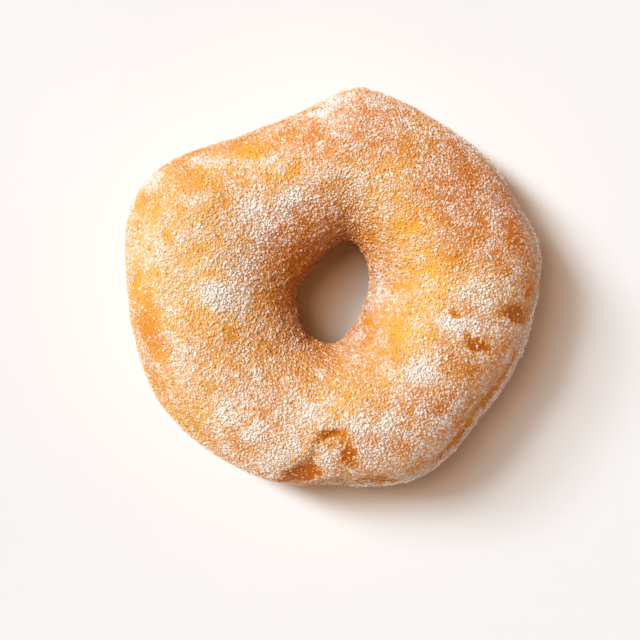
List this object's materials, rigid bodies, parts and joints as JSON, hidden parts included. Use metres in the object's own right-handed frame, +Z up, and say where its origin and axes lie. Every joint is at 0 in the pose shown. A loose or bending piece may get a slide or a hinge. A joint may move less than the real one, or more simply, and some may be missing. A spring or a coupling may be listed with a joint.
{
  "type": "ring doughnut",
  "caption": "Ring of raised fried dough coated in granulated sugar, with an off-round hole and a lower rim, resting on its flattened underside.",
  "frame": {"origin": "under the middle of the ring, on the surface that it rests on", "axes": "+Z up, out of the crown; +X along the ring's longest width; the blunt corner is at +Y and the pinched end of the dough at -Y"},
  "size_m": [0.09, 0.0859, 0.031],
  "materials": {
    "sugared_crust": "matte"
  },
  "bodies": {
    "root": {"dough_ring": "sugared_crust"}
  },
  "joints": []
}
